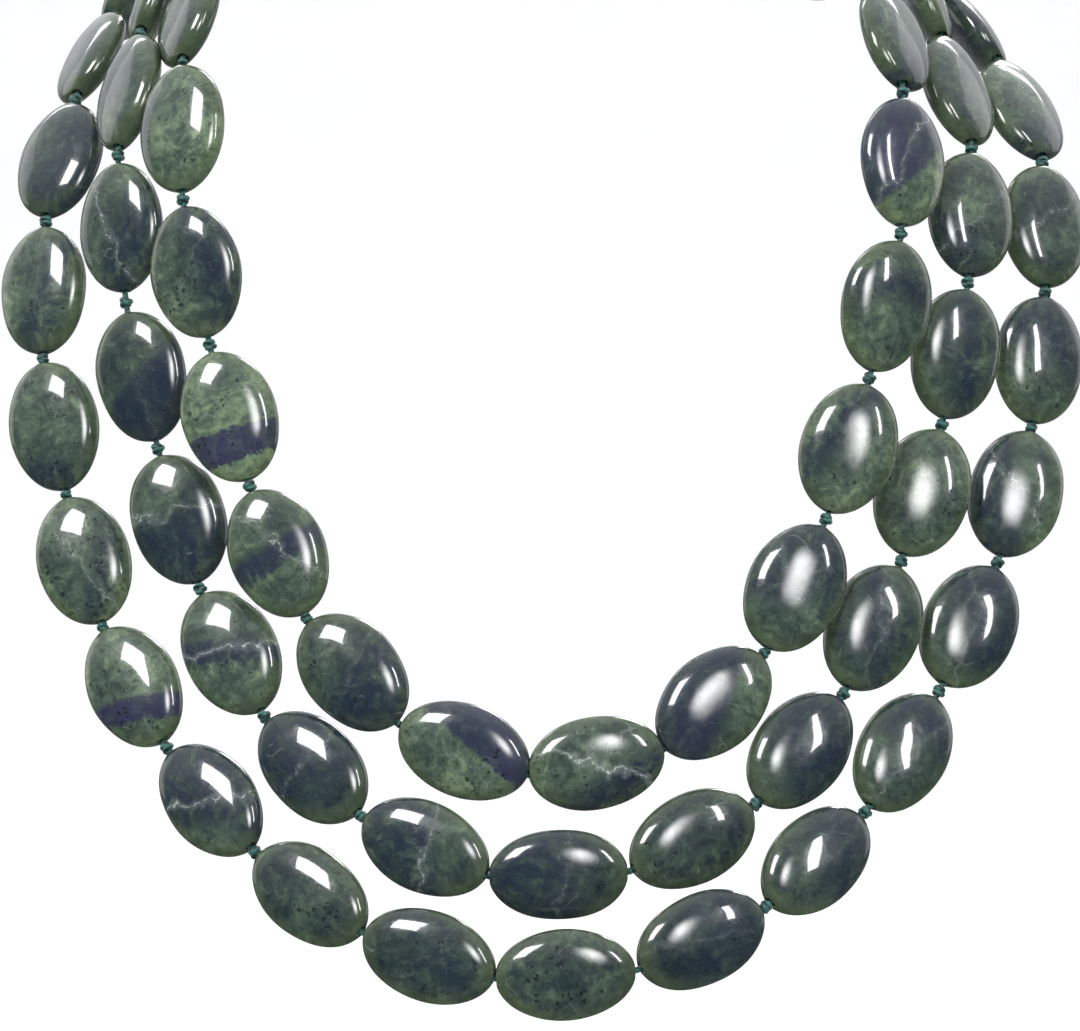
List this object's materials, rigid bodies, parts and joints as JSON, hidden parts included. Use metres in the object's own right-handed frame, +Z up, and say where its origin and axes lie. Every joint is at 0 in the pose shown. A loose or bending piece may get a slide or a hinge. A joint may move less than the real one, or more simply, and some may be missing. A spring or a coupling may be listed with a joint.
{
  "type": "three-strand jade bead necklace",
  "caption": "Necklace of flat puffed-oval jade beads strung end to end on knotted thread, its strands nested one below the other and joined at the nape by a slide-lock clasp.",
  "frame": {"origin": "where the clasp rests on the nape of the wearer's neck", "axes": "+Z up the wearer's neck, the wearer faces -Y and +X is to the wearer's left"},
  "size_m": [0.1511, 0.118, 0.1771],
  "materials": {
    "jade": "polished dark green nephrite with darker clouds, pale veins and black specks",
    "thread": "twisted teal-green thread, knotted between the beads",
    "silver": "polished silver"
  },
  "bodies": {
    "root": {"inner_bead_01": "jade", "inner_bead_02": "jade", "inner_bead_03": "jade", "inner_bead_04": "jade", "inner_bead_05": "jade", "inner_bead_06": "jade", "inner_bead_07": "jade", "inner_bead_08": "jade", "inner_bead_09": "jade", "inner_bead_10": "jade", "inner_bead_11": "jade", "inner_bead_12": "jade", "inner_bead_13": "jade", "inner_bead_14": "jade", "middle_bead_01": "jade", "middle_bead_02": "jade", "middle_bead_03": "jade", "middle_bead_04": "jade", "middle_bead_05": "jade", "middle_bead_06": "jade", "middle_bead_07": "jade", "middle_bead_08": "jade", "middle_bead_09": "jade", "middle_bead_10": "jade", "middle_bead_11": "jade", "middle_bead_12": "jade", "middle_bead_13": "jade", "middle_bead_14": "jade", "middle_bead_15": "jade", "outer_bead_01": "jade", "outer_bead_02": "jade", "outer_bead_03": "jade", "outer_bead_04": "jade", "outer_bead_05": "jade", "outer_bead_06": "jade", "outer_bead_07": "jade", "outer_bead_08": "jade", "outer_bead_09": "jade", "outer_bead_10": "jade", "outer_bead_11": "jade", "outer_bead_12": "jade", "outer_bead_13": "jade", "outer_bead_14": "jade", "outer_bead_15": "jade", "outer_bead_16": "jade", "outer_bead_17": "jade", "outer_bead_18": "jade", "inner_back_left": "jade", "inner_back_right": "jade", "middle_back_left": "jade", "middle_back_right": "jade", "outer_back_left": "jade", "outer_back_right": "jade", "inner_thread": "thread", "middle_thread": "thread", "outer_thread": "thread", "clasp_tube": "silver", "clasp_slide": "silver"}
  },
  "joints": []
}
